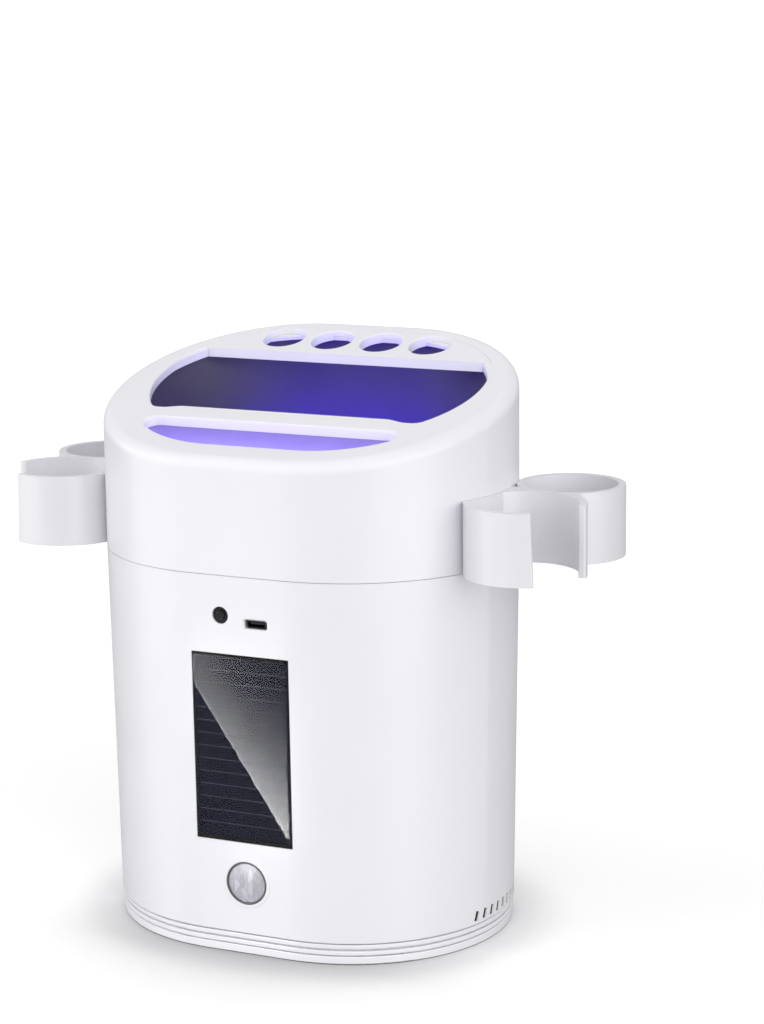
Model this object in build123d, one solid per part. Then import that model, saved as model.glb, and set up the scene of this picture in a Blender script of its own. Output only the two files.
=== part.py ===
from build123d import *
import math
import os

# ---------------------------------------------------------------------------
# Free-standing oval sterilizer box for chopsticks.
# Millimetres, +Z up, front face towards -Y, origin at the centre of the base.
# ---------------------------------------------------------------------------

# overall body (plan is a stadium: flat front and back, round ends)
HALF_L = 80.0            # half length along X at the parting line
HALF_W = 62.4            # half width along Y at the parting line
Z_SEAM = 144.5           # parting line between lower housing and top cover
Z_BODY = 8.2             # lower edge of the lower housing
TAPER = 0.0153           # inset per mm of height below the parting line
Z_TOP0 = 204.4           # height of the sloping top over the centre
SLOPE = 0.2784           # rise of the top per mm towards the back
R_RIM = 5.0              # rounding of the top's outer edge
WALL_LOW = 2.4
WALL_TOP = 2.6
ROOF = 3.5               # thickness of the sloping top
SEAM_GAP = 0.2

# openings in the sloping top
IN_SET = 12.0            # inset of the openings from the outline
Y_SLOT_BACK = -31.4      # straight back edge of the light slot
SLOT_END_R = 4.4         # rounding of the slot's two pointed ends
SLOT_HALF = 50.9         # half length of the light slot
Y_OPEN = -21.4           # front edge of the main opening
Y_OPEN_CORNER = -23.3    # its corners reach a little further forward
OPEN_CX, OPEN_CY, OPEN_R = 19.0, 8.0, 47.2   # round ends of the main opening
Y_GUIDE = 29.4           # front edge of the rear guide
GUIDE_IN = 9.4           # inset of the guide's outline from the body outline
HOLE_D = 16.8            # four round holes of the rear guide
HOLE_PITCH = 20.8
HOLE_Y = 42.4

# cup
CUP_IN = 8.2
CUP_WALL = 1.8
Y_CUP = -25.6            # front face of the cup
Z_CUP = 38.0             # underside of the cup

# front panel features
SOLAR_W, SOLAR_H, SOLAR_Z = 39.2, 71.4, 79.3
BTN_X, BTN_Z, BTN_D = -7.4, 129.5, 6.0
USB_X, USB_Z, USB_W, USB_H = 6.7, 127.0, 9.2, 3.3
PIR_X, PIR_Z, PIR_D = 0.4, 28.0, 16.4

# vents
VENT_Z0, VENT_Z1, VENT_W = 9.6, 13.4, 2.0
VENT_LEAN = 17.0         # degrees the slots lean back
VENT_Y = [-18.6 + 4.65 * i for i in range(9)]

# hook racks
RACK_Z0, RACK_Z1 = 144.5, 171.1
RACK_T = 2.8
C_X, C_Y, C_RO = 94.9, -20.4, 22.4       # open hook, towards the front
B_X, B_Y, B_RO = 98.0, 18.6, 20.3        # closed ring, towards the back
MOUTH_LO, MOUTH_HI = (-60.8, 5.0), (-63.6, 5.0)  # mouth of the hook at its bottom and top, degrees
WEB_X = 108.5            # the solid web between the loops ends here
WEB_HALF = 5.0
RACK_GAP = 0.15          # between the loops and the cover's wall
ROOT_T = 1.35            # thin root of the hook that lies against the wall
TEE_W, TEE_T = 12.0, 2.0                 # rail that holds the rack

os.makedirs("parts", exist_ok=True)
NORM = math.sqrt(1 + SLOPE * SLOPE)
TOPN = (0, -SLOPE / NORM, 1 / NORM)


def save(shape, name):
    if isinstance(shape, (list, ShapeList)):
        shape = Compound(children=list(shape))
    shape.label = name
    export_step(shape, "parts/" + name + ".step")


def inset_at(z):
    return TAPER * (Z_SEAM - z) if z < Z_SEAM else 0.0


def stad(d):
    return SlotOverall(2 * (HALF_L - d), 2 * (HALF_W - d))


def prism(sketch, z0, z1):
    return Pos(0, 0, z0) * extrude(sketch, z1 - z0)


def tapered(d, z0, z1):
    """Solid stadium that follows the body's taper, inset by d."""
    lo = Pos(0, 0, z0) * stad(d + inset_at(z0))
    hi = Pos(0, 0, z1) * stad(d + inset_at(z1))
    return loft([lo.faces()[0], hi.faces()[0]], ruled=True)


def above_top(depth):
    """Everything above the sloping plane lying `depth` below the top."""
    pl = Plane(origin=(0, 0, Z_TOP0 - depth * NORM), x_dir=(1, 0, 0), z_dir=TOPN)
    return pl * Pos(0, 0, 60) * Box(400, 400, 120)


def half_plane(y0, y1=200):
    return Pos(0, (y0 + y1) / 2) * Rectangle(400, y1 - y0)


def near(verts, pts, tol=0.6):
    out = []
    for v in verts:
        for p in pts:
            if abs(v.X - p[0]) < tol and abs(v.Y - p[1]) < tol:
                out.append(v)
    return out


def x_on(d, y):
    """x of the inset-d outline at height y."""
    r = HALF_W - d
    return (HALF_L - HALF_W) + math.sqrt(r * r - y * y)


def screw(x, y, z_head, length, d=3.0, head_d=5.6, head_h=2.0, up=True, drive=1.3):
    """Pan-head screw with its head's outer face at z_head; shank goes up or down."""
    head = fillet(Cylinder(head_d / 2, head_h).edges().sort_by(Axis.Z)[0], 0.6)
    head = Pos(0, 0, head_h / 2) * head
    shank = Pos(0, 0, head_h + length / 2 - 0.05) * Cylinder(d / 2, length)
    body = head + shank
    cross = Box(head_d * 0.6, 0.8, 2 * drive) + Box(0.8, head_d * 0.6, 2 * drive)
    body = body - cross
    if not up:
        body = Rot(180, 0, 0) * body
    return Pos(x, y, z_head) * body


# ---------------------------------------------------------------- lower housing
FRONT = Plane(origin=(0, -(HALF_W - inset_at(SOLAR_Z)), SOLAR_Z), x_dir=(1, 0, 0), z_dir=(0, -1, -TAPER))
BOSS = [(-56, -28), (56, -28), (-56, 28), (56, 28)]

low = tapered(0, Z_BODY, Z_SEAM - SEAM_GAP)
low = fillet(low.edges().group_by(Axis.Z)[0], 0.5)
low -= tapered(WALL_LOW, Z_BODY - 1, Z_SEAM + 1)
# register lip that the top cover drops over
low += prism(stad(2.2) - stad(4.4), Z_SEAM - 8, Z_SEAM - SEAM_GAP)
low += prism(stad(2.85) - stad(4.4), Z_SEAM - 1, Z_SEAM + 5.0)
for s in (-1, 1):
    low -= Pos(s * 77, 0, Z_SEAM + 5.3) * Box(14, 22, 11)
# pad behind the solar panel, with its recess and wire window
low += FRONT * Pos(0, 0, -2.55) * Box(SOLAR_W + 7, SOLAR_H + 7, 2.9)
low -= FRONT * Pos(0, 0, 3.0 - 2.5) * Box(SOLAR_W + 0.3, SOLAR_H + 0.3, 6.0)
low -= FRONT * Pos(0, 30, -3.5) * Box(8, 4, 4)
# motion sensor seat
py_pir = -(HALF_W - inset_at(PIR_Z))
low += Pos(PIR_X, py_pir + 3.2, PIR_Z) * Rot(90, 0, 0) * Cylinder(PIR_D / 2 + 2.4, 3.0)
flange = Pos(PIR_X, py_pir, PIR_Z) * Rot(90, 0, 0) * Cylinder(PIR_D / 2 + 1.3, 0.5)
low += fillet(flange.edges().group_by(Axis.Y)[0], 0.2)
low -= Pos(PIR_X, py_pir, PIR_Z) * Rot(90, 0, 0) * Cylinder(PIR_D / 2 + 0.1, 12)
# button hole and inlet cut-out
py_btn = -(HALF_W - inset_at(BTN_Z))
low -= Pos(BTN_X, py_btn, BTN_Z) * Rot(90, 0, 0) * Cylinder(BTN_D / 2 + 0.25, 12)
low -= Pos(USB_X, py_btn, USB_Z) * Rot(90, 0, 0) * extrude(RectangleRounded(USB_W, USB_H, 0.9), 6, both=True)
usb_bevel = Plane(origin=(USB_X, py_btn - 0.01, USB_Z), x_dir=(1, 0, 0), z_dir=(0, 1, 0)) * extrude(
    RectangleRounded(USB_W + 1.0, USB_H + 1.0, 1.3), 0.6, taper=40)
low -= usb_bevel
# posts for the control board
for px, pz in ((-21, 137.0), (21, 137.0), (-21, 121.5), (21, 121.5)):
    low += Pos(px, -58.3, pz) * Rot(90, 0, 0) * Cylinder(2.6, 3.4)
    low -= Pos(px, -57.5, pz) * Rot(90, 0, 0) * Cylinder(1.0, 3.4)
# vent slots low on both round ends
for y in VENT_Y:
    w = Pos(0, y, (VENT_Z0 + VENT_Z1) / 2) * Rot(-VENT_LEAN, 0, 0) * Box(2 * HALF_L + 10, VENT_W, VENT_Z1 - VENT_Z0)
    w -= Pos(0, 0, 12) * Box(2 * 62, 200, 30)
    low -= w
# screw bosses under the cup, tied to the wall
for bx, by in BOSS:
    sx, sy = (1 if bx > 0 else -1), (1 if by > 0 else -1)
    low += Pos(bx, by, 32.2) * Cylinder(4.0, 7.2)
    web = Pos(bx + sx * 7.2, by + sy * 5.25, 32.2) * Rot(0, 0, sx * sy * 36.1) * Box(16.0, 2.4, 7.2)
    low += web & tapered(1.0, 20, 60)
    low -= Pos(bx, by, 31.5) * Cylinder(1.5, 8)
save(low, "lower_housing")

# black dust screens behind the vent slots
scrn = tapered(WALL_LOW + 0.06, VENT_Z0 + 0.4, VENT_Z1 + 1.2)
plug = None
for y in VENT_Y:
    w = Pos(0, y, (VENT_Z0 + VENT_Z1) / 2) * Rot(-VENT_LEAN, 0, 0) * Box(2 * HALF_L + 10, VENT_W - 0.12, VENT_Z1 - VENT_Z0 - 0.12)
    plug = w if plug is None else plug + w
scrn += plug & tapered(0.5, VENT_Z0 - 1, VENT_Z1 + 3)
scrn -= tapered(WALL_LOW + 0.46, VENT_Z0 - 3, VENT_Z1 + 5)
scrn -= prism(stad(4.7), 0, 9.75)
save([scrn & (Pos(s * 100, 0, 12) * Box(2 * (100 - 63), 200, 30)) for s in (-1, 1)], "vent_screens")

# ---------------------------------------------------------------- base
bands = [(0.2, 3.15, 2.6), (3.5, 5.3, 2.5), (5.9, Z_BODY - 0.45, 2.5)]
base = prism(stad(4.0), 0.3, 7.6)
for z0, z1, d in bands:
    b = prism(stad(d), z0, z1)
    b = fillet(b.edges().filter_by(lambda e: abs(e.center().Z - z0) < 0.01 or abs(e.center().Z - z1) < 0.01), 0.45)
    base += b
base -= prism(stad(7.4), 3.2, 20)
base += prism(stad(4.9) - stad(7.4), 7.0, 9.6)
base -= prism(stad(7.9), -1, 1.3)
for bx, by in BOSS:
    base += Pos(bx, by, 14.2) * Cylinder(4.6, 23.2)
    base -= Pos(bx, by, 14.0) * Cylinder(1.7, 40)
    base -= Pos(bx, by, 1.8) * Cylinder(3.1, 4.4)
save(base, "base_cap")

pad = prism(stad(8.0), 0, 1.25)
pad = fillet(pad.edges().group_by(Axis.Z)[0], 0.5)
for bx, by in BOSS:
    pad -= Pos(bx, by, 0) * Cylinder(3.5, 6)
# shallow grip rings
for d in (12.5, 17.5, 22.5):
    pad -= prism(stad(d) - stad(d + 1.6), -1, 0.35)
save(pad, "base_pad")

save([screw(bx, by, 2.0, 29.2, d=2.9) for bx, by in BOSS], "base_screws")

# ---------------------------------------------------------------- deck, tray, battery
deck = tapered(WALL_LOW + 0.35, 25.9, 28.4)
for bx, by in BOSS:
    deck -= Pos(bx, by, 27) * Cylinder(1.75, 8)
deck -= Pos(0, -46, 27) * Box(34, 12, 8)
deck -= Pos(PIR_X, -57, 27) * Box(25, 16, 8)
for sx in (-1, 1):
    deck -= Pos(sx * 22, -38.0, 27) * Cylinder(1.1, 8)
deck += prism(Pos(0, 12) * (RectangleRounded(94.6, 74.6, 14) - RectangleRounded(91.6, 71.6, 12.5)), 28.2, 31.0)
save(deck, "inner_deck")

tray = prism(Pos(0, 12) * RectangleRounded(91.0, 71.0, 12), 28.5, 36.8)
tray = fillet(tray.edges().group_by(Axis.Z)[0], 2.0)
tray -= prism(Pos(0, 12) * RectangleRounded(88.0, 68.0, 10.5), 30.0, 60)
tray += Pos(0, 12, 30.6) * Box(88.4, 1.2, 1.2) + Pos(0, 12, 30.6) * Box(1.2, 68.4, 1.2)
save(tray, "drip_tray")

CELL_R, CELL_L = 9.2, 65.0
cells = []
for cy in (-6.0, 14.5):
    c = Rot(0, 90, 0) * Cylinder(CELL_R, CELL_L)
    c = fillet(c.edges(), 0.8)
    c += Pos(CELL_L / 2 + 0.5, 0, 0) * Rot(0, 90, 0) * Cylinder(3.0, 1.2)
    cells.append(Pos(0, cy, 14.6) * c)
save(cells, "battery_cells")

cradle = Pos(0, 4.25, 9.0) * Box(74, 43.4, 11.4)
for cy in (-6.0, 14.5):
    cradle -= Pos(0, cy, 14.6) * Rot(0, 90, 0) * Cylinder(CELL_R + 0.15, 69)
cradle -= Pos(0, 4.25, 12) * Box(50, 60, 4)
for sx in (-1, 1):
    cradle += Pos(sx * 35.5, 4.25, 14.0) * Box(2.0, 40, 18.0)
save(cradle, "battery_cradle")

contacts = []
for sx in (-1, 1):
    for cy in (-6.0, 14.5):
        contacts.append(Pos(sx * 34.1, cy, 14.6) * Rot(0, 90, 0) * Cylinder(4.0, 0.6))
save(contacts, "battery_contacts")

# ---------------------------------------------------------------- control board
Y_PCB0 = -56.6
pcb = Pos(0, Y_PCB0 + 0.8, 129.3) * Box(48, 1.6, 22)
for px, pz in ((-21, 137.0), (21, 137.0), (-21, 121.5), (21, 121.5)):
    pcb -= Pos(px, Y_PCB0, pz) * Rot(90, 0, 0) * Cylinder(1.35, 8)
save(pcb, "control_board")

scr = []
for px, pz in ((-21, 137.0), (21, 137.0), (-21, 121.5), (21, 121.5)):
    s = Rot(-90, 0, 0) * screw(0, 0, 0, 3.2, d=1.9, head_d=3.6, head_h=1.2, up=False, drive=0.7)
    scr.append(Pos(px, Y_PCB0 + 1.6 + 1.2, pz) * s)
save(scr, "board_screws")

chips = [Pos(-2, Y_PCB0 + 1.6 + 0.55, 133) * Box(8, 1.1, 5), Pos(11, Y_PCB0 + 1.6 + 0.5, 126) * Box(4.4, 1.0, 4.4),
         Pos(-13, Y_PCB0 + 1.6 + 0.7, 126) * Box(5.0, 1.4, 5.0), Pos(14, Y_PCB0 + 1.6 + 1.5, 134) * Box(6.0, 3.0, 4.5)]
save(chips, "board_parts")

# inlet: folded metal shell with its tongue
usb_len = 4.3
ush = Pos(USB_X, Y_PCB0 - usb_len / 2, USB_Z) * Rot(90, 0, 0) * extrude(RectangleRounded(7.6, 2.8, 0.7), usb_len / 2, both=True)
ush -= Pos(USB_X, Y_PCB0 - usb_len / 2 - 0.5, USB_Z) * Rot(90, 0, 0) * extrude(RectangleRounded(6.9, 2.1, 0.45), usb_len / 2, both=True)
save(ush, "inlet_shell")
tongue = Pos(USB_X, Y_PCB0 - 0.5 - 1.5, USB_Z + 0.3) * Box(5.4, 3.0, 0.7)
save(tongue, "inlet_tongue")

# tactile switch, its plunger and the cap the finger meets
sw = Pos(BTN_X, Y_PCB0 - 1.0, BTN_Z) * Box(6.0, 2.0, 6.0)
sw -= Pos(BTN_X, Y_PCB0 - 1.6, BTN_Z) * Rot(90, 0, 0) * Cylinder(1.75, 1.9)
save(sw, "button_switch")
plg = Pos(BTN_X, -58.625, BTN_Z) * Rot(90, 0, 0) * Cylinder(1.65, 1.45)
save(plg, "switch_plunger")
cap_y0 = -62.35
cap = Pos(BTN_X, cap_y0 + 1.9, BTN_Z) * Rot(90, 0, 0) * Cylinder(BTN_D / 2, 2.2)
nub = Pos(BTN_X, cap_y0 + 0.5, BTN_Z) * Rot(90, 0, 0) * Cylinder(1.75, 1.0)
cap += fillet(nub.edges().group_by(Axis.Y)[0], 0.5)
save(cap, "power_button")

# ---------------------------------------------------------------- solar panel
glass = FRONT * Pos(0, 0, -0.1 - 0.4) * Box(SOLAR_W, SOLAR_H, 0.8)
save(glass, "solar_glass")
cell = []
n_str = 14
pitch = (SOLAR_H - 3.0) / n_str
for i in range(n_str):
    zc = -(SOLAR_H - 3.0) / 2 + pitch * (i + 0.5)
    cell.append(FRONT * Pos(0, zc, -0.9 - 0.2) * Box(SOLAR_W - 2.4, pitch - 0.5, 0.38))
save(cell, "solar_cells")
back = FRONT * Pos(0, 0, -1.3 - 0.55) * Box(SOLAR_W, SOLAR_H, 1.1)
rimf = FRONT * Pos(0, 0, -1.11) * (Box(SOLAR_W, SOLAR_H, 0.40) - Box(SOLAR_W - 2.0, SOLAR_H - 2.6, 1))
save(back + rimf, "solar_backing")

# ---------------------------------------------------------------- motion sensor
bez = Pos(PIR_X, py_pir + 1.6, PIR_Z) * Rot(90, 0, 0) * (Cylinder(PIR_D / 2, 4.0) - Cylinder(PIR_D / 2 - 0.65, 8))
bez = fillet(bez.edges().group_by(Axis.Y)[0], 0.2)
save(bez, "sensor_bezel")
lens_r = PIR_D / 2 - 0.75
dome_h = 1.1
dome_R = (lens_r * lens_r + dome_h * dome_h) / (2 * dome_h)
lens = Pos(PIR_X, py_pir + 1.5, PIR_Z) * Rot(90, 0, 0) * Cylinder(lens_r, 3.0)
ball = Pos(PIR_X, py_pir - 1.0 + dome_R, PIR_Z) * Sphere(dome_R)
lens = (lens + Pos(PIR_X, py_pir - 0.5, PIR_Z) * Rot(90, 0, 0) * Cylinder(lens_r, 1.2)) & ball
lens -= Pos(PIR_X, py_pir + 0.2 + dome_R, PIR_Z) * Sphere(dome_R)
lens -= Pos(PIR_X, py_pir + 2.6, PIR_Z) * Rot(90, 0, 0) * Cylinder(lens_r - 1.0, 3.4)
save(lens, "sensor_lens")
can = Pos(PIR_X, py_pir + 4.0, PIR_Z) * Rot(90, 0, 0) * Cylinder(4.1, 3.0)
can += Pos(PIR_X, py_pir + 5.3, PIR_Z) * Rot(90, 0, 0) * Cylinder(4.6, 0.5)
save(can, "sensor_can")
sbd = Pos(PIR_X, py_pir + 6.4, PIR_Z) * Rot(90, 0, 0) * Cylinder(PIR_D / 2 + 1.0, 1.5)
save(sbd, "sensor_board")

# ---------------------------------------------------------------- lamp bracket and boards
brk = Pos(0, -32.4, 98.4) * Box(60, 2.0, 140)
brk += Pos(0, -43.4, 167.4) * Box(60, 24.0, 2.0)
brk += Pos(0, -38.4, 29.7) * Box(60, 14.0, 2.4)
for sx in (-28, 28):
    brk += Pos(sx, -43.4, 160.5) * Box(2.0, 22.0, 13)
    brk += Pos(sx, -36.0, 98.4) * Box(2.0, 6.0, 139)
for sx in (-22, 22):
    brk -= Pos(sx, -38.0, 29.7) * Cylinder(1.35, 8)
brk -= Pos(0, -43.4, 167.4) * Box(8, 6, 6)
save(brk, "lamp_bracket")
save([screw(sx, -38.0, 30.95 + 1.2, 4.5, d=2.1, head_d=4.0, head_h=1.2, up=False, drive=0.7) for sx in (-22, 22)], "bracket_screws")

uvb = Pos(0, -30.65, 98) * Box(18, 1.5, 106)
save(uvb, "lamp_board")
leds = []
for i in range(7):
    z = 98 + (i - 3) * 16
    b = Pos(0, -29.35, z) * Box(3.5, 1.1, 3.5)
    d = (Pos(0, -28.85, z) * Sphere(1.3)) & (Pos(0, -27.8, z) * Box(4, 2.0, 4))
    leds.append(b + d)
save(leds, "lamp_leds")
wlb = Pos(0, -43.6, 169.2) * Box(54, 18, 1.5)
save(wlb, "slot_lamp_board")
wl = []
for x in (-22, -11, 0, 11, 22):
    b = Pos(x, -45.6, 170.5) * Box(3.5, 3.5, 1.1)
    d = (Pos(x, -45.6, 171.0) * Sphere(1.3)) & (Pos(x, -45.6, 172.05) * Box(4, 4, 2.0))
    wl.append(b + d)
save(wl, "slot_lamp_leds")

# ---------------------------------------------------------------- top cover
cov = prism(stad(0), Z_SEAM, 240) - above_top(0)
top_face = cov.faces().sort_by(Axis.Z)[-1]
top_edges = [e for e in cov.edges() if abs(e.center().Z - (Z_TOP0 + SLOPE * e.center().Y)) < 0.4]
cov = fillet(top_edges, R_RIM)
core = prism(stad(WALL_TOP), Z_SEAM - 1, 240) - above_top(ROOF)
cov -= core

slot_sk = stad(IN_SET) & half_plane(-100, Y_SLOT_BACK)
xs = x_on(IN_SET, Y_SLOT_BACK)
slot_sk = fillet(near(slot_sk.vertices(), [(-xs, Y_SLOT_BACK), (xs, Y_SLOT_BACK)]), SLOT_END_R)

open_sk = Pos(0, OPEN_CY) * SlotOverall(2 * (OPEN_CX + OPEN_R), 2 * OPEN_R)
open_sk = open_sk & half_plane(Y_OPEN_CORNER, Y_GUIDE + 0.2)
xc = OPEN_CX + math.sqrt(OPEN_R ** 2 - (Y_OPEN_CORNER - OPEN_CY) ** 2)
open_sk = fillet(near(open_sk.vertices(), [(-xc, Y_OPEN_CORNER), (xc, Y_OPEN_CORNER)]), 5.5)
open_sk = open_sk & stad(IN_SET)
lip = make_face(Polyline((-49.2, Y_OPEN_CORNER - 1), (-49.2, Y_OPEN_CORNER), (-43.0, Y_OPEN), (42.5, Y_OPEN),
                         (48.7, Y_OPEN_CORNER), (48.7, Y_OPEN_CORNER - 1), close=True))
lip = fillet([v for v in lip.vertices() if v.Y > Y_OPEN - 0.1], 9.0)
open_sk -= lip

guide_sk = stad(GUIDE_IN) & half_plane(Y_GUIDE)
xg = x_on(GUIDE_IN, Y_GUIDE)
seat_sk = stad(GUIDE_IN - 0.15) & half_plane(Y_GUIDE - 0.15)
ledge_sk = stad(IN_SET) & half_plane(Y_GUIDE - 0.15)
tall = lambda sk: prism(sk, 160, 240)
cov -= tall(slot_sk)
cov -= tall(open_sk)
cov -= tall(seat_sk) & above_top(2.15)
cov -= tall(ledge_sk)

# soften the rims of the light slot and of the main opening
rim = [e for e in cov.edges()
       if abs(e.center().Z - (Z_TOP0 + SLOPE * e.center().Y)) < 0.05
       and (e.center().Y < Y_GUIDE - 2)
       and (((abs(e.center().X) - 17.6 if abs(e.center().X) > 17.6 else 0) ** 2 + e.center().Y ** 2) ** 0.5 < HALF_W - R_RIM - 1.5)]
cov = fillet(rim, 0.9)

# bosses for the rack rails inside both round ends
for s in (-1, 1):
    bb = Pos(s * 75.6, 0, (Z_SEAM + 172.6) / 2) * Box(5.2, 19.0, 172.6 - Z_SEAM)
    cov += bb & prism(stad(0.5), 100, 200)
    cov -= Pos(s * 75.45, 0, (Z_SEAM - 1 + 169.35) / 2) * Box(TEE_T + 0.3, TEE_W + 0.3, 170.35 - Z_SEAM)
    cov -= Pos(s * 78.5, 0, (Z_SEAM - 1 + 169.35) / 2) * Box(8, 5.3, 170.35 - Z_SEAM)
# bosses for the cup's two front screws and pads for its rear tabs
CUP_EAR = [(-57.0, -30.4), (57.0, -30.4)]
for ex, ey in CUP_EAR:
    b = Pos(ex, ey, 180) * Cylinder(3.6, 40) - above_top(1.0)
    cov += b - Pos(ex, ey, 150) * Box(20, 20, 50)
    cov -= Pos(ex, ey, 175 + 4) * Cylinder(1.1, 9)
for sx in (-26, 26):
    cov += (Pos(sx, 58.1, 193.4) * Box(12, 7.0, 3.0)) & prism(stad(1.0), 100, 240)
save(cov, "top_cover")

# ---------------------------------------------------------------- light window under the slot
win_sk = stad(IN_SET - 3.2) & (Pos(0, (Y_SLOT_BACK + 3.0 - 70) / 2) * Rectangle(2 * (SLOT_HALF + 1.9), 70 + Y_SLOT_BACK + 3.0))
for ex, ey in CUP_EAR:
    win_sk -= Pos(ex, ey) * Circle(3.9)
win = tall(win_sk) & above_top(ROOF + 2.05)
win -= above_top(ROOF + 0.05)
save(win, "light_window")

# ---------------------------------------------------------------- cup
def cup_sk(d):
    sk = stad(CUP_IN + d) & half_plane(Y_CUP + d)
    x = x_on(CUP_IN + d, Y_CUP + d)
    return fillet(near(sk.vertices(), [(-x, Y_CUP + d), (x, Y_CUP + d)]), 10.0 - d)

cup = prism(cup_sk(0), Z_CUP, 240)
cup = fillet(cup.edges().group_by(Axis.Z)[0], 3.0)
cup -= prism(cup_sk(CUP_WALL), Z_CUP + 2.0, 240)
cup -= above_top(ROOF + 0.15)
# front wall is lower beside the light window
cup -= Pos(0, Y_CUP - 0.2, 200) * Box(2 * SLOT_HALF + 5, 3.0, 30)
for i in range(-3, 4):
    for j in range(4):
        cup -= Pos(i * 11.0, -7.0 + 12.6 * j, Z_CUP) * Cylinder(2.4, 10)
# lamp window in the front wall
cup -= Pos(0, Y_CUP + 1, 98) * Box(26, 10, 112)
cup -= Pos(0, Y_CUP + 0.3, 98) * Box(30.2, 2.0, 116.2)
# ears for the screws and tabs at the rear
for ex, ey in CUP_EAR:
    e = Pos(ex, ey, 173.4) * Cylinder(3.6, 3.0)
    e += Pos(ex * 0.985, (ey + Y_CUP) / 2 + 1.2, 173.4) * Box(6.4, abs(ey - Y_CUP) + 1.0, 3.0)
    e -= prism(cup_sk(CUP_WALL * 0.6), 100, 240)
    e -= Pos(ex, ey, 173) * Cylinder(1.5, 20)
    cup += e
for sx in (-26, 26):
    tb = Pos(sx, 56.0, 196.3) * Box(9, 6.4, 2.6)
    tb -= prism(cup_sk(CUP_WALL * 0.6), 100, 240)
    cup += tb & prism(stad(WALL_TOP + 0.3), 100, 240)
save(cup, "utensil_cup")

save([screw(ex, ey, 171.9 - 1.6, 8.0, d=2.1, head_d=4.4, head_h=1.6, drive=0.8) for ex, ey in CUP_EAR], "cup_screws")

lw = Pos(0, Y_CUP + 0.55, 98) * Box(30, 1.3, 116)
lw = fillet(lw.edges().filter_by(Axis.Y), 1.5)
save(lw, "lamp_window")

# ---------------------------------------------------------------- chopstick guide
gd = (tall(guide_sk) & above_top(2.05)) + (tall(stad(IN_SET + 0.2) & half_plane(Y_GUIDE)) & above_top(ROOF))
gd -= above_top(0)
for i in range(4):
    gd -= Pos((i - 1.5) * HOLE_PITCH, HOLE_Y, 210) * Cylinder(HOLE_D / 2, 60)
rim = [e for e in gd.edges() if abs(e.center().Z - (Z_TOP0 + SLOPE * e.center().Y)) < 0.05
       and abs(e.center().Y - HOLE_Y) < 1.0 and 40 < e.length < 70]
gd = fillet(rim, 0.5)
save(gd, "chopstick_guide")

# ---------------------------------------------------------------- hook racks
def mouth(a, z):
    a0, a1 = math.radians(a[0]), math.radians(a[1])
    pts = [(C_X, C_Y)] + [(C_X + 40 * math.cos(a0 + (a1 - a0) * k / 4), C_Y + 40 * math.sin(a0 + (a1 - a0) * k / 4)) for k in range(5)]
    return Pos(0, 0, z) * make_face(Polyline(*pts, close=True))


def rack():
    loops = Pos(C_X, C_Y) * Circle(C_RO) + Pos(B_X, B_Y) * Circle(B_RO)
    loops += Pos((78 + WEB_X) / 2, 0) * Rectangle(WEB_X - 78, 2 * WEB_HALF)
    loops -= Pos(C_X, C_Y) * Circle(C_RO - RACK_T)
    loops -= Pos(B_X, B_Y) * Circle(B_RO - RACK_T)
    loops += (stad(-ROOT_T) - stad(0)) & (Pos(90, -16) * Rectangle(60, 22))
    body = prism(loops, RACK_Z0, RACK_Z1)
    # the free end of the hook is cut slightly on the slant
    body -= loft([mouth(MOUTH_LO, RACK_Z0 - 0.01).faces()[0], mouth(MOUTH_HI, RACK_Z1 + 0.01).faces()[0]], ruled=True)
    return body


rk = rack()
rk -= prism(stad(-RACK_GAP), 100, 240)
neck = Pos((76.3 + 82.0) / 2, 0, (RACK_Z0 + 0.1 + 168.9) / 2) * Box(82.0 - 76.3, 5.0, 168.9 - RACK_Z0 - 0.1)
tee = Pos(75.45, 0, (RACK_Z0 + 0.1 + 168.9) / 2) * Box(TEE_T, TEE_W, 168.9 - RACK_Z0 - 0.1)
rk = rk + neck + tee
ends = [e for e in rk.edges() if e.length > 20 and e.center().X > 100 and e.center().Y < -10]
rk = fillet(ends, 0.9)
save(rk, "rack_right")
save(mirror(rk, Plane.YZ), "rack_left")

# ---------------------------------------------------------------- wiring
def wire(pts, r=0.65):
    path = Spline(*[Vector(*p) for p in pts])
    return sweep(Plane(origin=path @ 0, z_dir=path % 0) * Circle(r), path=path)

runs = [
    [(37.8, -6.0, 16.0), (41.5, -16.0, 17.0), (34.0, -34.0, 18.5), (11.0, -47.4, 23.0), (9.5, -48.6, 34.0), (13.0, -49.5, 80.0), (13.5, -51.5, 112.0), (13.0, -54.2, 120.5)],
    [(37.8, 14.5, 16.0), (44.0, 2.0, 17.0), (40.0, -30.0, 19.5), (14.2, -46.9, 22.5), (12.0, -48.0, 34.0), (16.0, -48.0, 80.0), (16.0, -51.5, 112.0), (16.0, -54.2, 120.5)],
    [(1.2, -52.6, 30.0), (0.5, -49.5, 36.0), (-3.0, -48.5, 70.0), (-5.5, -51.0, 108.0), (-6.0, -54.2, 120.5)],
    [(1.5, -57.6, 109.3), (1.5, -54.6, 109.6), (1.8, -52.6, 113.0), (2.5, -54.2, 120.0)],
    [(0.0, -43.6, 167.6), (0.0, -43.8, 161.0), (3.0, -47.5, 149.0), (5.0, -52.4, 141.0), (5.0, -54.2, 137.5)],
]
save([wire(p) for p in runs], "wiring")
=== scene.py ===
import math

import bmesh
import bpy
from mathutils import Matrix, Vector


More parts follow.
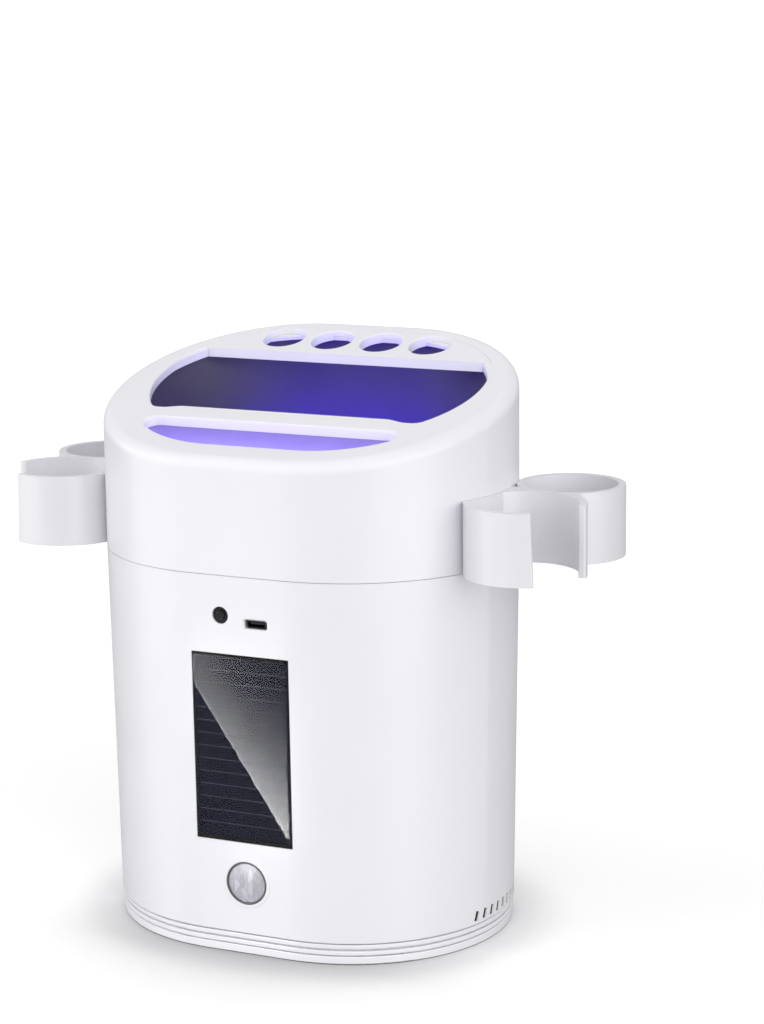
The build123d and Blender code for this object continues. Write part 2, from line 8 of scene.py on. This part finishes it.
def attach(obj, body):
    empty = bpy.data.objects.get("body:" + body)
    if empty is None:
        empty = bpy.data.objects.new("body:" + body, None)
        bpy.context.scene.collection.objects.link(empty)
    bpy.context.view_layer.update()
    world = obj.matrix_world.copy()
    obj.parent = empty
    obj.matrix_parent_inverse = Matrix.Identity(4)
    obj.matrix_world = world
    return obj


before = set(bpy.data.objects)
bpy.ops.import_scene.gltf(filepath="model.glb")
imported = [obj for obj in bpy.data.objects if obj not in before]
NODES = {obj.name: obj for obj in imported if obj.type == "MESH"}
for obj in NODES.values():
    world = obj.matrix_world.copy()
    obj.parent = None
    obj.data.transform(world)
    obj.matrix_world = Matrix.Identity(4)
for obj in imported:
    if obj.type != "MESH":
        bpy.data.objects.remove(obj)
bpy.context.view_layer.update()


# ------------------------------------------------------------------ node helpers
def new_mat(name):
    m = bpy.data.materials.new(name)
    m.use_nodes = True
    nt = m.node_tree
    nt.nodes.clear()
    out = nt.nodes.new("ShaderNodeOutputMaterial")
    b = nt.nodes.new("ShaderNodeBsdfPrincipled")
    nt.links.new(b.outputs["BSDF"], out.inputs["Surface"])
    return m, nt, b, out


def add(nt, kind, **kw):
    n = nt.nodes.new(kind)
    for k, v in kw.items():
        setattr(n, k, v)
    return n


def coords(nt, scale=(1, 1, 1), rot=(0, 0, 0), loc=(0, 0, 0)):
    tc = add(nt, "ShaderNodeTexCoord")
    mp = add(nt, "ShaderNodeMapping")
    mp.inputs["Scale"].default_value = scale
    mp.inputs["Rotation"].default_value = rot
    mp.inputs["Location"].default_value = loc
    nt.links.new(tc.outputs["Object"], mp.inputs["Vector"])
    return mp.outputs["Vector"]


def noise(nt, vec, scale, detail=3.0, rough=0.5):
    n = add(nt, "ShaderNodeTexNoise")
    n.inputs["Scale"].default_value = scale
    n.inputs["Detail"].default_value = detail
    n.inputs["Roughness"].default_value = rough
    nt.links.new(vec, n.inputs["Vector"])
    return n.outputs["Fac"]


def ramp(nt, fac, stops, interp="LINEAR"):
    r = add(nt, "ShaderNodeValToRGB")
    r.color_ramp.interpolation = interp
    el = r.color_ramp.elements
    while len(el) > 1:
        el.remove(el[-1])
    el[0].position = stops[0][0]
    el[0].color = stops[0][1]
    for p, c in stops[1:]:
        e = el.new(p)
        e.color = c
    nt.links.new(fac, r.inputs["Fac"])
    return r.outputs["Color"]


def maprange(nt, val, a, b, c, d):
    m = add(nt, "ShaderNodeMapRange")
    for k, v in zip(("From Min", "From Max", "To Min", "To Max"), (a, b, c, d)):
        m.inputs[k].default_value = v
    nt.links.new(val, m.inputs["Value"])
    return m.outputs["Result"]


def math_node(nt, op, a, b=None, c=None):
    m = add(nt, "ShaderNodeMath", operation=op)
    for i, v in enumerate((a, b, c)):
        if v is None:
            continue
        if isinstance(v, (int, float)):
            m.inputs[i].default_value = v
        else:
            nt.links.new(v, m.inputs[i])
    return m.outputs[0]


def bump(nt, b, height, strength, dist=0.0002):
    n = add(nt, "ShaderNodeBump")
    n.inputs["Strength"].default_value = strength
    n.inputs["Distance"].default_value = dist
    nt.links.new(height, n.inputs["Height"])
    nt.links.new(n.outputs["Normal"], b.inputs["Normal"])
    return n


def moulded(name, col, rough=0.3, rvar=0.06, coat=0.0, peel=0.10, tint=0.012, sss=0.0, grain=0.0, spec=0.5):
    """Injection-moulded plastic: faint colour drift, uneven gloss, orange peel."""
    m, nt, b, out = new_mat(name)
    v = coords(nt)
    drift = noise(nt, v, 14, 3)
    lo = tuple(max(0, c - tint) for c in col) + (1,)
    hi = tuple(min(1, c + tint) for c in col) + (1,)
    nt.links.new(ramp(nt, drift, [(0.3, lo), (0.7, hi)]), b.inputs["Base Color"])
    gl = noise(nt, v, 55, 4)
    nt.links.new(maprange(nt, gl, 0.3, 0.7, rough - rvar, rough + rvar), b.inputs["Roughness"])
    h = noise(nt, v, 260, 2)
    if grain:
        g = noise(nt, v, 2600, 2)
        h = math_node(nt, "ADD", h, math_node(nt, "MULTIPLY", g, grain))
    bump(nt, b, h, peel, 0.0002)
    b.inputs["IOR"].default_value = 1.5
    b.inputs["Specular IOR Level"].default_value = spec
    if coat:
        b.inputs["Coat Weight"].default_value = coat
        b.inputs["Coat Roughness"].default_value = 0.12
    if sss:
        b.inputs["Subsurface Weight"].default_value = sss
        b.inputs["Subsurface Radius"].default_value = (0.004, 0.004, 0.0045)
        b.inputs["Subsurface Scale"].default_value = 0.5
    return m


def metal(name, col, rough=0.3, stretch=(1, 1, 1)):
    m, nt, b, out = new_mat(name)
    b.inputs["Metallic"].default_value = 1.0
    v = coords(nt, scale=stretch)
    n1 = noise(nt, v, 900, 3)
    nt.links.new(ramp(nt, n1, [(0.3, tuple(c * 0.86 for c in col) + (1,)), (0.7, tuple(col) + (1,))]), b.inputs["Base Color"])
    nt.links.new(maprange(nt, n1, 0.2, 0.8, rough - 0.08, rough + 0.1), b.inputs["Roughness"])
    bump(nt, b, n1, 0.06, 0.0001)
    return m


def put(node, mat):
    o = NODES[node]
    me = o.data
    if not me.materials:
        me.materials.append(mat)
    for i in range(len(me.materials)):
        o.material_slots[i].link = "OBJECT"
        o.material_slots[i].material = mat


# ------------------------------------------------------------------ materials
white = moulded("shell_white", (0.80, 0.795, 0.835), rough=0.36, coat=0.12, peel=0.04, sss=0.05)
rack_m = moulded("rack_white", (0.76, 0.755, 0.79), rough=0.38, coat=0.12, peel=0.05, sss=0.04)
inner = moulded("inner_white", (0.62, 0.62, 0.64), rough=0.55, peel=0.12, grain=0.3)
cup_m = moulded("cup_smoke", (0.085, 0.078, 0.105), rough=0.42, tint=0.008, coat=0.15, peel=0.06, grain=0.2)
rubber = moulded("grey_rubber", (0.09, 0.09, 0.095), rough=0.75, peel=0.25, grain=0.6)
steel = metal("screw_steel", (0.62, 0.61, 0.58), 0.32)
nickel = metal("plated_contacts", (0.75, 0.74, 0.72), 0.24)
black = moulded("black_plastic", (0.014, 0.014, 0.016), rough=0.45, tint=0.005, peel=0.1, grain=0.2, spec=0.25)
mesh_m = moulded("screen_black", (0.006, 0.006, 0.007), rough=0.9, tint=0.002, peel=0.3, grain=0.8)
sleeve = moulded("cell_sleeve", (0.03, 0.16, 0.40), rough=0.3, tint=0.02, coat=0.4)
green = moulded("board_green", (0.012, 0.15, 0.05), rough=0.35, tint=0.02, coat=0.3)
wboard = moulded("board_white", (0.78, 0.79, 0.78), rough=0.4)
btn_m = moulded("button_black", (0.007, 0.007, 0.008), rough=0.35, tint=0.002, spec=0.22)
pblack = moulded("panel_black", (0.006, 0.006, 0.009), rough=0.5, tint=0.002)
bezel = moulded("bezel_grey", (0.085, 0.085, 0.095), rough=0.35, tint=0.006, coat=0.1)
steel_dark = metal("inlet_steel", (0.045, 0.045, 0.048), 0.45)
wire_m = moulded("wire_insulation", (0.42, 0.03, 0.03), rough=0.4, tint=0.03)

for n, m in {
    "lower_housing": white, "top_cover": white, "base_cap": white, "chopstick_guide": white,
    "rack_left": rack_m, "rack_right": rack_m, "base_pad": rubber, "base_screws": steel,
    "inner_deck": inner, "drip_tray": inner, "battery_cells": sleeve, "battery_cradle": black,
    "battery_contacts": nickel, "control_board": green, "board_parts": black, "board_screws": steel,
    "inlet_shell": steel_dark, "inlet_tongue": black, "button_switch": black, "switch_plunger": black,
    "power_button": btn_m, "solar_backing": pblack, "sensor_bezel": bezel, "sensor_can": nickel,
    "sensor_board": green, "lamp_bracket": inner, "bracket_screws": steel, "lamp_board": wboard,
    "slot_lamp_board": wboard, "utensil_cup": cup_m, "cup_screws": steel, "wiring": wire_m,
    "vent_screens": mesh_m,
}.items():
    put(n, m)

# solar cells: dark silicon with fine grid lines
m, nt, b, out = new_mat("solar_silicon")
v = coords(nt)
grain = noise(nt, coords(nt, scale=(1, 1, 0.35)), 420, 4)
sil = ramp(nt, grain, [(0.3, (0.0030, 0.0034, 0.0110, 1)), (0.7, (0.0055, 0.0060, 0.0180, 1))])
tc = add(nt, "ShaderNodeTexCoord")
sp = add(nt, "ShaderNodeSeparateXYZ")
nt.links.new(tc.outputs["Object"], sp.inputs["Vector"])
fine = math_node(nt, "PINGPONG", sp.outputs["X"], 0.0008)
line = maprange(nt, fine, 0.00004, 0.00010, 1.0, 0.0)
mixc = add(nt, "ShaderNodeMix", data_type="RGBA")
nt.links.new(math_node(nt, "MULTIPLY", line, 0.35), mixc.inputs["Factor"])
nt.links.new(sil, mixc.inputs[6])
mixc.inputs[7].default_value = (0.022, 0.023, 0.034, 1)
nt.links.new(mixc.outputs[2], b.inputs["Base Color"])
b.inputs["Roughness"].default_value = 0.35
b.inputs["Specular IOR Level"].default_value = 0.04
put("solar_cells", m)

# backing: black border, slightly lighter where it shows between the cell strings
m, nt, b, out = new_mat("panel_backing")
tc = add(nt, "ShaderNodeTexCoord")
sp = add(nt, "ShaderNodeSeparateXYZ")
nt.links.new(tc.outputs["Object"], sp.inputs["Vector"])
inx = math_node(nt, "LESS_THAN", math_node(nt, "ABSOLUTE", sp.outputs["X"]), 0.0184)
inz = math_node(nt, "LESS_THAN", math_node(nt, "ABSOLUTE", math_node(nt, "SUBTRACT", sp.outputs["Z"], 0.0793)), 0.0338)
mk = math_node(nt, "MULTIPLY", inx, inz)
mixb = add(nt, "ShaderNodeMix", data_type="RGBA")
nt.links.new(mk, mixb.inputs["Factor"])
nt.links.new(ramp(nt, noise(nt, coords(nt), 300, 3), [(0.3, (0.003, 0.003, 0.004, 1)), (0.7, (0.006, 0.006, 0.008, 1))]), mixb.inputs[6])
mixb.inputs[7].default_value = (0.060, 0.062, 0.085, 1)
nt.links.new(mixb.outputs[2], b.inputs["Base Color"])
b.inputs["Roughness"].default_value = 0.5
b.inputs["Specular IOR Level"].default_value = 0.1
put("solar_backing", m)

# flat clear cover
m, nt, b, out = new_mat("panel_glass")
b.inputs["Base Color"].default_value = (0.97, 0.98, 1.0, 1)
b.inputs["Transmission Weight"].default_value = 1.0
b.inputs["IOR"].default_value = 1.2
nt.links.new(maprange(nt, noise(nt, coords(nt), 60, 3), 0.3, 0.7, 0.015, 0.04), b.inputs["Roughness"])
put("solar_glass", m)

# milky sensor lens: tall facets with fine wavy streaks
m, nt, b, out = new_mat("lens_pearl")
v = coords(nt, scale=(1.0, 1.0, 0.42), rot=(0, math.radians(14), 0))
vo = add(nt, "ShaderNodeTexVoronoi", feature="F1")
vo.inputs["Scale"].default_value = 520
nt.links.new(v, vo.inputs["Vector"])
cells_c = ramp(nt, vo.outputs["Color"], [(0.0, (0.42, 0.42, 0.45, 1)), (0.5, (0.52, 0.51, 0.57, 1)), (1.0, (0.66, 0.65, 0.73, 1))])
ve = add(nt, "ShaderNodeTexVoronoi", feature="DISTANCE_TO_EDGE")
ve.inputs["Scale"].default_value = 520
nt.links.new(v, ve.inputs["Vector"])
edge_f = maprange(nt, ve.outputs["Distance"], 0.0, 0.16, 0.84, 1.0)
mul = add(nt, "ShaderNodeMix", data_type="RGBA", blend_type="MULTIPLY")
mul.inputs["Factor"].default_value = 1.0
nt.links.new(cells_c, mul.inputs[6])
nt.links.new(edge_f, mul.inputs[7])
nt.links.new(mul.outputs[2], b.inputs["Base Color"])
nt.links.new(maprange(nt, vo.outputs["Distance"], 0.0, 0.6, 0.22, 0.40), b.inputs["Roughness"])
b.inputs["Subsurface Weight"].default_value = 0.2
b.inputs["Subsurface Radius"].default_value = (0.001, 0.001, 0.001)
bump(nt, b, vo.outputs["Distance"], 0.3, 0.0002)
put("sensor_lens", m)

# lit diodes and windows
def glow(name, col, strength, base=(0.8, 0.8, 0.9)):
    m, nt, b, out = new_mat(name)
    v = coords(nt)
    n = noise(nt, v, 40, 2)
    lo = tuple(c * 0.9 for c in col) + (1,)
    nt.links.new(ramp(nt, n, [(0.3, lo), (0.7, tuple(col) + (1,))]), b.inputs["Emission Color"])
    b.inputs["Emission Strength"].default_value = strength
    b.inputs["Base Color"].default_value = tuple(base) + (1,)
    b.inputs["Roughness"].default_value = 0.3
    return m

put("lamp_leds", glow("led_violet", (0.16, 0.05, 1.0), 12))
put("slot_lamp_leds", glow("led_violet_top", (0.30, 0.15, 1.0), 8))

# slot window: milky violet diffuser; its emission is painted light, darkest at the back where the top shell shades it
# and brighter towards the front
m, nt, b, out = new_mat("window_violet")
tc = add(nt, "ShaderNodeTexCoord")
sp = add(nt, "ShaderNodeSeparateXYZ")
nt.links.new(tc.outputs["Object"], sp.inputs["Vector"])
cloud = noise(nt, coords(nt, scale=(0.6, 1, 1)), 45, 2)
yy = math_node(nt, "ADD", sp.outputs["Y"], maprange(nt, cloud, 0.3, 0.7, -0.0012, 0.0012))
fy = maprange(nt, yy, -0.0316, -0.0500, 0.0, 1.0)
painted_shade_glow = ramp(nt, fy, [(0.0, (0.010, 0.001, 0.20, 1)), (0.10, (0.03, 0.006, 0.30, 1)), (0.40, (0.07, 0.035, 0.42, 1)),
                   (0.75, (0.16, 0.12, 0.46, 1)), (1.0, (0.26, 0.22, 0.46, 1))])
nt.links.new(painted_shade_glow, b.inputs["Emission Color"])
b.inputs["Emission Strength"].default_value = 1.0
nt.links.new(ramp(nt, noise(nt, coords(nt), 60, 3), [(0.3, (0.20, 0.16, 0.40, 1)), (0.7, (0.24, 0.20, 0.44, 1))]), b.inputs["Base Color"])
b.inputs["Roughness"].default_value = 0.4
put("light_window", m)

# clear lamp window in the cup's front wall
m, nt, b, out = new_mat("window_clear")
b.inputs["Base Color"].default_value = (0.70, 0.64, 1.0, 1)
b.inputs["Transmission Weight"].default_value = 0.85
nt.links.new(maprange(nt, noise(nt, coords(nt), 120, 3), 0.3, 0.7, 0.25, 0.4), b.inputs["Roughness"])
# painted glow: the window's own violet emission stands in for the lamp light passing through it
b.inputs["Emission Color"].default_value = (0.16, 0.06, 1.0, 1)
b.inputs["Emission Strength"].default_value = 1.2
put("lamp_window", m)

# ------------------------------------------------------------------ stage
def stage_mat(name, col, rough=0.6):
    m, nt, b, out = new_mat(name)
    b.inputs["Base Color"].default_value = tuple(col) + (1,)
    b.inputs["Roughness"].default_value = rough
    return m, b

bpy.ops.mesh.primitive_plane_add(size=120, location=(0, 0, 0))
floor = bpy.context.object
floor.name = "stage_floor"
fm, fb = stage_mat("stage_white", (0.93, 0.93, 0.93), 1.0)
fnt = fm.node_tree
# painted contact shadow: ambient-occlusion ramps darken the floor's colour and emission near the object, with a longer
# painted shadow in front of it
ao = add(fnt, "ShaderNodeAmbientOcclusion", samples=16)
ao.inputs["Distance"].default_value = 0.030
painted_shadow_near = ramp(fnt, ao.outputs["AO"], [(0.0, (0.10, 0.10, 0.105, 1)), (0.40, (0.50, 0.50, 0.505, 1)), (0.62, (0.74, 0.74, 0.745, 1)), (1.0, (0.93, 0.93, 0.93, 1))], "EASE")
ao2 = add(fnt, "ShaderNodeAmbientOcclusion", samples=16)
ao2.inputs["Distance"].default_value = 0.080
painted_shadow_far = ramp(fnt, ao2.outputs["AO"], [(0.45, (0.60, 0.60, 0.602, 1)), (0.62, (0.70, 0.70, 0.702, 1)), (0.80, (0.88, 0.88, 0.88, 1)), (0.97, (1, 1, 1, 1))])
ftc = add(fnt, "ShaderNodeTexCoord")
fsp = add(fnt, "ShaderNodeSeparateXYZ")
fnt.links.new(ftc.outputs["Object"], fsp.inputs["Vector"])
painted_front_shadow_mix = add(fnt, "ShaderNodeMix", data_type="RGBA")
fnt.links.new(maprange(fnt, fsp.outputs["Y"], -0.025, -0.060, 0.0, 1.0), painted_front_shadow_mix.inputs["Factor"])
painted_front_shadow_mix.inputs[6].default_value = (1, 1, 1, 1)
fnt.links.new(painted_shadow_far, painted_front_shadow_mix.inputs[7])
painted_shadow_mul = add(fnt, "ShaderNodeMix", data_type="RGBA", blend_type="MULTIPLY")
painted_shadow_mul.inputs["Factor"].default_value = 1.0
fnt.links.new(painted_shadow_near, painted_shadow_mul.inputs[6])
fnt.links.new(painted_front_shadow_mix.outputs[2], painted_shadow_mul.inputs[7])
soft = painted_shadow_mul.outputs[2]
fnt.links.new(soft, fb.inputs["Base Color"])
fnt.links.new(soft, fb.inputs["Emission Color"])
fb.inputs["Specular IOR Level"].default_value = 0.0
fb.inputs["Emission Strength"].default_value = 0.24
floor.data.materials.append(fm)
floor.visible_diffuse = False
floor.visible_glossy = False

w = bpy.data.worlds.new("studio")
bpy.context.scene.world = w
w.use_nodes = True
bg = w.node_tree.nodes["Background"]
bg.inputs["Color"].default_value = (1, 1, 1, 1)
# softly brighter above the horizon than below it
wnt = w.node_tree
wtc = wnt.nodes.new("ShaderNodeTexCoord")
wsp = wnt.nodes.new("ShaderNodeSeparateXYZ")
wnt.links.new(wtc.outputs["Generated"], wsp.inputs["Vector"])
wnt.links.new(maprange(wnt, wsp.outputs["Z"], -0.12, 0.12, 0.37, 0.63), bg.inputs["Strength"])
bpy.context.scene.view_settings.view_transform = "Standard"
bpy.context.scene.view_settings.look = "None"


def sun(name, az, el, angle, power):
    """Broad soft sun; az counts from the front face towards +X."""
    L = bpy.data.lights.new(name, "SUN")
    L.angle = math.radians(angle)
    L.energy = power * math.pi
    o = bpy.data.objects.new(name, L)
    bpy.context.collection.objects.link(o)
    a, e = math.radians(az), math.radians(el)
    d = Vector((math.sin(a) * math.cos(e), -math.cos(a) * math.cos(e), math.sin(e)))
    o.rotation_euler = (-d).to_track_quat("-Z", "Y").to_euler()
    return o

sun("left_soft", -60, 7, 60, 0.585)
sun("right_soft", 60, 8, 60, 0.56)
sun("high_soft", 20, 32, 50, 0.12)
sun("back_soft", 180, 35, 45, 0.035)


def area(name, loc, aim, size, power, col=(1, 1, 1), size_y=None):
    L = bpy.data.lights.new(name, "AREA")
    L.shape = "RECTANGLE"
    L.size = size
    L.size_y = size_y or size
    L.energy = power
    L.color = col
    o = bpy.data.objects.new(name, L)
    bpy.context.collection.objects.link(o)
    o.location = loc
    o.rotation_euler = (Vector(aim) - Vector(loc)).to_track_quat("-Z", "Y").to_euler()
    o.visible_camera = False
    return o

# violet light inside the cup
glow_l = area("lamp_glow", (0, -0.0233, 0.085), (0, 0.05, 0.085), 0.024, 0.16, (0.085, 0.030, 1.0), 0.08)
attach(glow_l, "base")
up_l = area("cup_glow", (0, -0.0150, 0.1200), (0, 0.0430, 0.1535), 0.100, 0.11, (0.070, 0.018, 1.0), 0.012)
up_l.data.spread = 1.117
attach(up_l, "base")
slot_l = area("slot_glow", (0, -0.0445, 0.1912), (0, -0.0300, 0.1925), 0.088, 0.0017, (0.20, 0.11, 1.0), 0.0012)
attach(slot_l, "top")

# ------------------------------------------------------------------ camera
PHI, TH, ROLL, FPX, DIST, TX, TZ = 0.4262, 0.2031, -0.0105, 2714.41, 1.03106, 0.0267033, 0.156059
fw = Vector((-math.sin(PHI) * math.cos(TH), math.cos(PHI) * math.cos(TH), -math.sin(TH)))
tgt = Vector((TX * math.cos(PHI), TX * math.sin(PHI), TZ))
pos = tgt - DIST * fw
r = Vector((math.cos(PHI), math.sin(PHI), 0))
u = r.cross(fw)
r1 = math.cos(ROLL) * r + math.sin(ROLL) * u
u1 = -math.sin(ROLL) * r + math.cos(ROLL) * u
cam = bpy.data.cameras.new("camera")
cam.sensor_width = 36.0
cam.lens = FPX / 1024 * 36.0
cam.clip_start = 0.01
co = bpy.data.objects.new("camera", cam)
bpy.context.collection.objects.link(co)
co.matrix_world = Matrix((
    (r1.x, u1.x, -fw.x, pos.x),
    (r1.y, u1.y, -fw.y, pos.y),
    (r1.z, u1.z, -fw.z, pos.z),
    (0, 0, 0, 1)))
bpy.context.scene.camera = co

# ------------------------------------------------------------------ light card that the flat panel mirrors
def glare_card():
    """Soft-edged card in front of the panel; its mirror image gives the slanted sheen on the glass."""
    n = Vector((0, -1, -0.0153)).normalized()
    base_p = Vector((0, -0.0613, 0.0793))
    rows, cols = 40, 24
    bm = bmesh.new()
    col = bm.loops.layers.float_color.new("sheen")
    grid = []
    for i in range(rows + 1):
        z = 0.1140 - (0.1140 - 0.0452) * i / rows
        xd = max(-0.0195, -0.0195 + (0.1034 - z) / (0.1034 - 0.0455) * 0.0385)
        line = []
        for j in range(cols + 1):
            a = max(0.0183 - xd, 0.0001) * (j / cols) ** 1.5
            P = Vector((xd + a, base_p.y, z))
            P.y = base_p.y - (n.z / n.y) * (z - base_p.z)
            d = (P - pos).normalized()
            rr = d - 2 * d.dot(n) * n
            t = (-0.12 - P.y) / rr.y
            g = min(0.62, 0.215 * math.exp((0.0967 - z) / 0.043)) * math.exp(-(a / 0.021) ** 1.15)
            edge = 1.0 + 0.9 * math.exp(-a / 0.0004) * (1.0 if z < 0.1034 else 0.0)
            line.append((bm.verts.new(P + t * rr), g * edge))
        grid.append(line)
    for i in range(rows):
        for j in range(cols):
            q = [grid[i][j], grid[i + 1][j], grid[i + 1][j + 1], grid[i][j + 1]]
            if len({tuple(round(c, 7) for c in e[0].co) for e in q}) < 4:
                continue
            f = bm.faces.new([e[0] for e in q])
            for lp, e in zip(f.loops, q):
                lp[col] = (e[1], e[1], e[1] * 1.02, 1)
    me = bpy.data.meshes.new("stage_card")
    bm.to_mesh(me)
    bm.free()
    o = bpy.data.objects.new("stage_card", me)
    bpy.context.collection.objects.link(o)
    m = bpy.data.materials.new("card_light")
    m.use_nodes = True
    nt = m.node_tree
    nt.nodes.clear()
    out = nt.nodes.new("ShaderNodeOutputMaterial")
    em = nt.nodes.new("ShaderNodeEmission")
    at = add(nt, "ShaderNodeAttribute", attribute_name="sheen")
    nt.links.new(at.outputs["Color"], em.inputs["Color"])
    em.inputs["Strength"].default_value = 92.0
    nt.links.new(em.outputs["Emission"], out.inputs["Surface"])
    me.materials.append(m)
    o.visible_camera = False
    o.visible_diffuse = False
    o.visible_shadow = False
    o.visible_transmission = False
    return o

glare_card()

bpy.context.view_layer.update()
